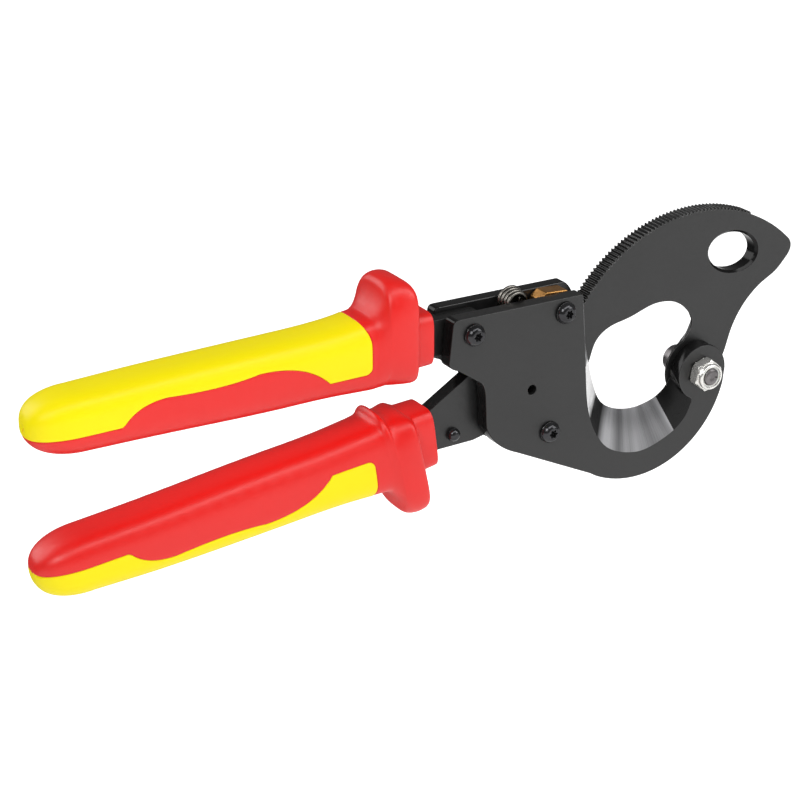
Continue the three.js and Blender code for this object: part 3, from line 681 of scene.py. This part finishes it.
def screw(node):
    at = SCREWS[node]
    head, end = depths(node)
    under = head + 2.3
    rim = [(3.7 - 0.18 * (1 - math.sin(t)), under - 0.45 - 0.18 * math.cos(t) + 0.18)
           for t in np.linspace(0, math.pi / 2, 5)]
    dome = [(1.95, head), (2.1, head + 0.03), (2.4, head + 0.18), (2.75, head + 0.46), (3.05, head + 0.8),
            (3.3, head + 1.18), (3.47, head + 1.55), (3.54, head + 1.72)]
    shank = [(2.0, y) for y in np.linspace(under + 0.1, end - 0.4, 90)]
    profile = [(0.02, head), (1.0, head), *dome, *rim, (3.7, under), (2.0, under), *shank, (1.6, end),
               (0.02, end)]
    piece = turned(f"{node}_button_head", at, profile, 72, [OXIDE], (end - 6, end - 0.5, 0.7, 0.22))
    socket = prism("socket", star(at, 1.32, 0.24), star(at, 1.32, 0.24), head - 1, head + 1.6, [OXIDE])
    fit(soften(carve(piece, socket), 0.08, 2, 50), "frame", "dark_steel", node)


def hexagon(radius, start):
    """Six corners, the first one at `start` degrees."""
    turns = [math.radians(60 * i + start) for i in range(6)]
    return [(radius * math.cos(a), radius * math.sin(a)) for a in turns]


def pivot_hardware():
    low, high = depths("pivot_nut")
    hexagon_front = high - 3.7
    corners = hexagon(5.75, 18)
    nut = prism("pivot_lock_nut", corners, corners, hexagon_front, high, [NICKEL])
    chamfer = turned("chamfer", (0, 0), [(0.02, hexagon_front - 0.5), (4.4, hexagon_front - 0.5),
                                         (5.0, hexagon_front), (5.85, hexagon_front + 0.62),
                                         (5.85, high - 0.5), (5.1, high), (0.02, high)], 96, [NICKEL])
    nut = carve(nut, chamfer, operation="INTERSECT")
    collar = [(4.6, hexagon_front + 0.5)]
    collar += [(4.6, low + 0.7), (4.5, low + 0.35), (4.3, low + 0.1), (4.05, low), (3.75, low + 0.03),
               (3.62, low + 0.16), (3.62, low + 0.3), (4.0, low + 0.45), (4.0, low + 1.6), (0.02, low + 1.6),
               (0.02, hexagon_front + 0.5)]
    nut = carve(nut, turned("collar", (0, 0), collar, 96, [NICKEL]), operation="UNION")
    nut = carve(nut, bore((0, 0), NUT_THREAD, low - 1, high + 1))
    fit(soften(nut, 0.14, 3, 28), "frame", "nickel", "pivot_nut")

    ring_low, ring_high = depths("nut_ring")
    ring = tube("nut_nylon_ring", (0, 0), NUT_THREAD, 3.9, max(ring_low, low + 0.5), ring_high, [NYLON])
    fit(soften(ring, 0.15), "frame", "white_nylon", "nut_ring")

    end, top = depths("pivot_bolt")
    under = top - 4.6
    thread = [(3.0, y) for y in np.linspace(end + 0.5, end + 8, 110)]
    rim = [(4.8 - 0.7 * (1 - math.cos(t)), top - 0.7 + 0.7 * math.sin(t))
           for t in np.linspace(0, math.pi / 2, 7)]
    profile = [(0.02, end + 0.25), (0.9, end + 0.2), (1.2, end), (2.35, end), (2.75, end + 0.35), *thread,
               (3.0, under), (4.65, under), (4.8, under + 0.15), *rim, (0.02, top)]
    bolt = turned("pivot_bolt_black", (0, 0), profile, 96, [BOLT], (end + 0.4, end + 7.5, 1.0, 0.32))
    key = hexagon(2.8, 0)
    notch = [(1.2, -0.25), (3.3, -0.9), (3.3, -0.2), (1.2, 0.25)]
    bolt = carve(bolt, prism("socket", key, key, top - 2.5, top + 1),
                 prism("notch", notch, notch, end - 1, end + 0.8))
    fit(soften(bolt, 0.1, 2, 50), "frame", "dark_steel", "pivot_bolt")


# ---- grips ----------------------------------------------------------------------------------------
# Sections of a grip in the handle's own frame. u runs towards the head, so it is negative along the
# handle, and w points away from the other handle.
# (u, inner w, outer w, half depth, squareness, share of the lip)
GUARD = [(-6.8, -9.8, 20.2, 11.2, 5.5, 0), (-7.8, -10.6, 22.6, 12, 5, 0), (-10, -10.9, 23.9, 12.3, 4, 0),
         (-13, -10.9, 24.4, 12.2, 3.3, 0), (-15.3, -10.8, 23.5, 11.8, 3, 0.5),
         (-15.9, -10.8, 19.8, 11.6, 3.1, 1), (-17.1, -10.8, 16.2, 11.2, 3.2, 1),
         (-18.5, -10.8, 13.7, 10.8, 3.4, 0.2)]
# The last number is the share of the belly.
HANDLE = [(-25, -10.8, 12.4, 10.4, 3.6, 0.3), (-38, -10.4, 11.2, 10.3, 3.3, 0.7),
          (-60, -10.8, 10.6, 10.3, 3.3, 1), (-95, -10.1, 9.6, 10.2, 3.3, 0.9),
          (-118, -10.1, 8.5, 10, 3.2, 0.1)]
GRIPS = {
    "upper": dict(x=-106.5, z=30, turn=0.2, side=1, line_shift=-0.5, stretch=0.995, collar=-7, width=1.2,
                  lean=0, lip=0, belly=0, body="frame"),
    "lower": dict(x=-105.6, z=-1.4, turn=7.6, side=-1, line_shift=1.2, stretch=1.012, collar=-9.5, width=1,
                  lean=0.08, lip=3, belly=0.8, body="lever"),
}
YELLOW_END = -23.2           # u where the yellow layer stops below the guard
TIP_START, TIP_LENGTH = -118, 15.9


def chaikin(rows, times=3):
    rows = np.array(rows, float)
    for _ in range(times):
        near, far = 0.75 * rows[:-1] + 0.25 * rows[1:], 0.25 * rows[:-1] + 0.75 * rows[1:]
        rows = np.concatenate([rows[:1], np.stack([near, far], 1).reshape(-1, rows.shape[1]), rows[-1:]])
    return rows


def colour_line():
    """The two-colour line in side view, from the end of the handle to the guard."""
    line = [(-140, -3.2), (-106.5, -2.6), *quad((-106.5, -2.6), (-102, 3.6), (-92, 3.9), 30),
            *quad((-92, 3.9), (-74, 2.7), (-62, 4.9), 30), *quad((-62, 4.9), (-46, 5.4), (-38, -3.2), 30),
            (-25.5, -3), *quad((-25.5, -3), (-23.2, -2.6), (YELLOW_END, 0), 20)]
    return np.array(line)


def grip_rows(g):
    """Rows (u, inner, outer, half depth, squareness, tilt) from the collar to the end of the handle."""
    face, c = GUARD[0][0], g["collar"]
    collar = [(0.6, c + 2.2, 8.7, 5.6, 5, 0), (0.6, c + 0.7, 10.2, 7.1, 5, 0),
              (0.5, c + 0.1, 10.8, 7.7, 5, 0), (0, c, 10.9, 7.8, 5, 0), (-3, c - 0.1, 11, 8, 5, 0),
              (-6.3, c - 0.2, 11.2, 8.2, 5, 0), (face, c - 0.3, 11.8, 8.5, 5, 0)]
    guard = [(face + (u - face) * g["width"], inner - g["lip"] * lip, outer, depth, square, g["lean"])
             for u, inner, outer, depth, square, lip in GUARD]
    handle = [(u, inner + g["belly"] * belly / 2, outer + g["belly"] * belly, depth, square, 0)
              for u, inner, outer, depth, square, belly in HANDLE]
    handle = [(-21.5, -10.75, 12.9, 10.5, 3.8, g["lean"] * 0.4), *handle, (-118.5, -10.1, 8.5, 10, 3.2, 0)]
    smooth = chaikin([*collar, *guard, *handle])
    last = np.argmax(smooth[:, 0] < -21)
    first_part = smooth[:last]
    near_end = YELLOW_END - np.array([0, 0.03, 0.1, 0.2, 0.35, 0.55, 0.8, 1.1, 1.5, 1.9, 2.3, 3])
    past = np.array([-21.2, -21.8, -22.3, -22.7, -22.9, -23.05, -23.15])
    along = np.concatenate([past, near_end, np.arange(-27, TIP_START, -1.0)])
    order = np.argsort(smooth[:, 0])
    rows = np.stack([along] + [np.interp(along, smooth[order, 0], smooth[order, k]) for k in range(1, 6)], 1)
    turn = np.linspace(0, math.pi / 2, 30)
    start = np.array([np.interp(TIP_START, smooth[order, 0], smooth[order, k]) for k in range(1, 6)])
    centre, tall = (start[0] + start[1]) / 2, (start[1] - start[0]) / 2
    share = np.maximum(np.cos(turn), 1e-9) ** 0.68
    tip = np.stack([TIP_START - TIP_LENGTH * np.sin(turn), centre - tall * share, centre + tall * share,
                    start[2] * share, start[3] + (2.2 - start[3]) * (1 - share), turn * 0], 1)
    return np.concatenate([first_part, rows, tip]), len(first_part) + len(past)


def stops(length, close, count):
    """Distances along a line of this length, packed closely at both ends."""
    close = np.array(close) * min(1.0, length / (4 * close[-1] + 1e-9))
    inner = np.linspace(close[-1], length - close[-1], count)[1:-1]
    return np.concatenate([close, inner, (length - close)[::-1]])


def grip_surface(rows, line):
    """Points round each row, and how far those of the yellow and the red side are from the line."""
    close_top, close_low = [0, 0.08, 0.18, 0.32, 0.5, 0.8, 1.4], [0, 0.06, 0.15, 0.3, 0.6, 1.2]
    count_top, count_low = 46, 40
    grid, top_gap, low_gap = [], [], []
    for u, inner, outer, depth, square, tilt in rows:
        mid, tall, power = (inner + outer) / 2, (outer - inner) / 2 + 1e-7, 2 / square
        seam = np.clip((np.interp(u, line[:, 0], line[:, 1]) - mid) / tall, -1, 1)
        angle = math.asin(np.sign(seam) * abs(seam) ** (square / 2))
        ring = []
        yellow_side = (angle, math.pi - angle, close_top, count_top, top_gap)
        red_side = (math.pi - angle, math.tau + angle, close_low, count_low, low_gap)
        for start, end, close, count, gaps in (yellow_side, red_side):
            a = np.linspace(start, end, 500)
            y = depth * np.sign(np.cos(a)) * np.abs(np.cos(a)) ** power
            w = mid + tall * np.sign(np.sin(a)) * np.abs(np.sin(a)) ** power
            length = np.concatenate([[0], np.cumsum(np.hypot(np.diff(y), np.diff(w)))])
            at = stops(length[-1], close, count)
            y, w = np.interp(at, length, y), np.interp(at, length, w)
            gaps.append(np.minimum(at, length[-1] - at))
            part = np.stack([u + tilt * w, y, w], 1)
            ring.append(part if not ring else part[1:-1])
        grid.append(np.concatenate(ring))
    return np.array(grid), np.array(top_gap), np.array(low_gap)


def surface_normals(grid, rows):
    wrapped = np.concatenate([grid[:, -1:], grid, grid[:, :1]], 1)
    across = wrapped[:, 2:] - wrapped[:, :-2]
    along = np.gradient(grid, axis=0)
    normal = np.cross(along, across)
    centre_line = ((rows[:, 1] + rows[:, 2]) / 2)[:, None, None]
    outward = grid * np.array([0, 1, 1]) - np.array([0, 0, 1]) * centre_line
    outward[:, :, 0] = 0
    length = np.linalg.norm(normal, axis=2, keepdims=True)
    normal = np.where(length > 1e-7, normal / np.maximum(length, 1e-7),
                      outward / np.maximum(np.linalg.norm(outward, axis=2, keepdims=True), 1e-7))
    body_rows = rows[:, 0] < -20
    if (normal * outward)[body_rows].sum() < 0:
        normal = -normal
    normal[-1] = (-1, 0, 0)
    return normal


def rounded(gap, radius):
    """Offset that rounds an edge, from each point's distance to it."""
    return np.where(gap < radius, np.sqrt(np.maximum(radius ** 2 - (radius - gap) ** 2, 0)) - radius, 0)


def quads(row_count, columns, offset=0, closed=False):
    last = columns if closed else columns - 1
    return [[offset + i * columns + j, offset + i * columns + (j + 1) % columns,
             offset + (i + 1) * columns + (j + 1) % columns, offset + (i + 1) * columns + j]
            for i in range(row_count - 1) for j in range(last)]


def grip(name, g):
    rows, boundary = grip_rows(g)
    line = colour_line() + np.array([0, g["line_shift"]])
    grid, top_gap, low_gap = grip_surface(rows, line)
    top = top_gap.shape[1]
    # the yellow layer's end leans back over the top of the handle
    u, w = grid[:, :, 0], grid[:, :, 2]
    lean = np.clip((w - 6.5 - g["line_shift"]) / 5.5, 0, 1.4) ** 1.6 * -1.66
    near = np.where(u < YELLOW_END, np.clip((u + 33) / (YELLOW_END + 33), 0, 1),
                    np.clip((-19.8 - u) / (-19.8 - YELLOW_END), 0, 1))
    grid[:, :, 0] = u + lean * near ** 1.5
    # shallow flutes along the red sides
    side = np.exp(-((w + 4) / 5.0) ** 4)
    flute = np.cos(grid[:, :, 0] * math.tau / 5.6) * side * np.clip((grid[:, :, 0] + 104) / 8, 0, 1)
    flute *= np.clip((-42 - grid[:, :, 0]) / 8, 0, 1)

    normal = surface_normals(grid, rows)
    from_end = np.abs(rows[:, 0] - YELLOW_END)
    covered = np.arange(len(rows)) >= boundary

    # red moulding: whole surface, sunk under the yellow and rounded beside it
    red_offset = np.zeros(grid.shape[:2])
    low_part = rounded(low_gap[:, 1:-1], 0.3) - 0.05 * flute[:, top:]
    red_offset[:, top:] = np.where(covered[:, None], low_part, -0.05 * flute[:, top:])
    top_red = np.broadcast_to(rounded(from_end, 0.3)[:, None], top_gap.shape)
    red_offset[:, :top] = np.where(covered[:, None], -1.05, top_red)
    red_offset[boundary, :top] = -0.3
    red_offset[covered, 0] = -0.3
    red_offset[covered, top - 1] = -0.3
    red = grid + normal * red_offset[:, :, None]
    # yellow layer: proud of the red by a hair, with rounded edges
    gap = np.minimum(top_gap, from_end[:, None])[boundary:]
    outer = grid[boundary:, :top] + normal[boundary:, :top] * (0.1 + rounded(gap, 0.5))[:, :, None]
    inner = grid[boundary:, :top] - normal[boundary:, :top] * 0.9

    turn = math.radians(g["turn"])

    def placed(points):
        p = points.reshape(-1, 3)
        x, z = p[:, 0] * g["stretch"], p[:, 2] * g["side"]
        return np.stack([g["x"] + x * math.cos(turn) - z * math.sin(turn), p[:, 1],
                         g["z"] + x * math.sin(turn) + z * math.cos(turn)], 1)

    columns = grid.shape[1]
    faces = quads(len(rows), columns, closed=True) + [list(range(columns))]
    red_piece = make(f"{name}_grip_red_moulding", placed(red), faces, [RED])
    fit(red_piece, g["body"], "red", f"{name}_grip_red")

    count = len(outer) * top
    faces = quads(len(outer), top) + quads(len(outer), top, count)
    faces += [[j, j + 1, count + j + 1, count + j] for j in range(top - 1)]
    for column in (0, top - 1):
        faces += [[i * top + column, (i + 1) * top + column,
                   count + (i + 1) * top + column, count + i * top + column]
                  for i in range(len(outer) - 1)]
    layers = np.concatenate([placed(outer), placed(inner)])
    yellow_piece = make(f"{name}_grip_yellow_layer", layers, faces, [YELLOW])
    fit(yellow_piece, g["body"], "yellow", f"{name}_grip_yellow")


# ---- build ----------------------------------------------------------------------------------------
front_plate()
back_plate()
fixed_tang()
blade()
lever()
retaining_pawl()
drive_pawl()
drive_pawl_leaf()
pawl_spring()
for node in SCREWS:
    screw(node)
pivot_hardware()
for name, g in GRIPS.items():
    grip(name, g)

# CAD pieces kept as they are, with softened edges
INSIDE = {"pivot_bush": BRASS, "lever_bush": BRASS, "tang_dowel": INNER, "frame_spacer": INNER,
          "pawl_bush": INNER, "lever_pivot_pin": INNER, "drive_pawl_pin": INNER}
for node, material in INSIDE.items():
    part = nodes[node]
    part.data.materials.clear()
    part.data.materials.append(material)
    part.data.polygons.foreach_set("use_smooth", [True] * len(part.data.polygons))
    soften(part, 0.08, 2, 40)

# ---- floor, light and camera ----------------------------------------------------------------------
scene = bpy.context.scene
scene.view_settings.view_transform = "Standard"


def stage_floor():
    count, radius, height = 48, 6.0, -0.09
    mesh = bpy.data.meshes.new("floor")
    edge = [(radius * math.cos(i / count * math.tau), radius * math.sin(i / count * math.tau), height)
            for i in range(count)]
    mesh.from_pydata(edge, [], [list(range(count))])
    floor = bpy.data.objects.new("floor", mesh)
    scene.collection.objects.link(floor)
    s = Shader("pale floor")
    seen = s.add("ShaderNodeLightPath").outputs["Is Camera Ray"]
    split = s.add("ShaderNodeSeparateXYZ")
    s.feed(split.inputs["Vector"], s.place)
    pale = s.mix(s.scaled(s.noise(3, 3), 0, 1), rgb(0.86, 0.86, 0.86), rgb(0.89, 0.89, 0.89))
    # seen in reflections and as bounced light, the floor is painted dark behind the tool and glows as painted
    # light in front and to the right
    behind = s.maths("SUBTRACT", split.outputs["Y"], s.maths("MAXIMUM", split.outputs["X"], 0.0))
    lit = s.mix(s.scaled(behind, 0, 1, 0.0, 0.2), pale, rgb(0.12, 0.12, 0.12))
    ahead = s.scaled(behind, 0.4, 0, 0.0, 0.12)
    glow = s.maths("MAXIMUM", s.maths("MULTIPLY", seen, 0.8), ahead)
    mesh.materials.append(s.finish(s.mix(seen, lit, pale), 0.9, 0.0, Emission_Color=rgb(1, 1, 1),
                                   Emission_Strength=glow))


def area_light(name, location, target, size, power, size_y=None):
    data = bpy.data.lights.new(name, "AREA")
    data.energy = power
    data.size = size
    if size_y:
        data.shape = "RECTANGLE"
        data.size_y = size_y
    light = bpy.data.objects.new(name, data)
    light.location = location
    light.rotation_mode = "QUATERNION"
    light.rotation_quaternion = (Vector(target) - Vector(location)).to_track_quat("-Z", "Y")
    scene.collection.objects.link(light)
    return light


def studio():
    world = bpy.data.worlds.new("studio")
    scene.world = world
    world.use_nodes = True
    tree = world.node_tree
    background = tree.nodes["Background"]
    seen = tree.nodes.new("ShaderNodeLightPath").outputs["Is Camera Ray"]
    pick = tree.nodes.new("ShaderNodeMapRange")
    tree.links.new(seen, pick.inputs["Value"])
    as_light, to_camera = 0.17, 1.0
    pick.inputs["To Min"].default_value = as_light
    pick.inputs["To Max"].default_value = to_camera
    tree.links.new(pick.outputs["Result"], background.inputs["Strength"])
    background.inputs["Color"].default_value = rgb(1, 1, 1)
    heart = middle("front_plate")
    area_light("left", heart + Vector((-0.75, -0.55, 0.65)), heart, 0.45, 4.2)
    area_light("right", heart + Vector((0.75, -0.75, 0.6)), heart, 0.6, 4.6)
    area_light("top", heart + Vector((0.12, -0.5, 0.85)), heart, 1.1, 4.2, 0.3)
    area_light("card", heart + Vector((0.46, -0.86, 0.21)), heart, 0.5, 0.3)
    area_light("rear", heart + Vector((-0.75, 0.85, 0.55)), heart, 0.9, 7)


def camera():
    azimuth, elevation, distance = math.radians(-30.2), math.radians(22.9), 0.6875
    back = Vector((math.sin(azimuth) * math.cos(elevation), -math.cos(azimuth) * math.cos(elevation),
                   math.sin(elevation)))
    right = Vector((0, 0, 1)).cross(back).normalized()
    up = back.cross(right)
    data = bpy.data.cameras.new("camera")
    data.sensor_width = 36
    data.lens = 99
    target = PIVOT + Vector((-118.9, -8.5, 15.0)) * MM
    view = bpy.data.objects.new("camera", data)
    scene.collection.objects.link(view)
    turn = Matrix((right, up, back)).transposed().to_4x4()
    view.matrix_world = Matrix.Translation(target + back * distance) @ turn
    scene.camera = view


stage_floor()
studio()
camera()
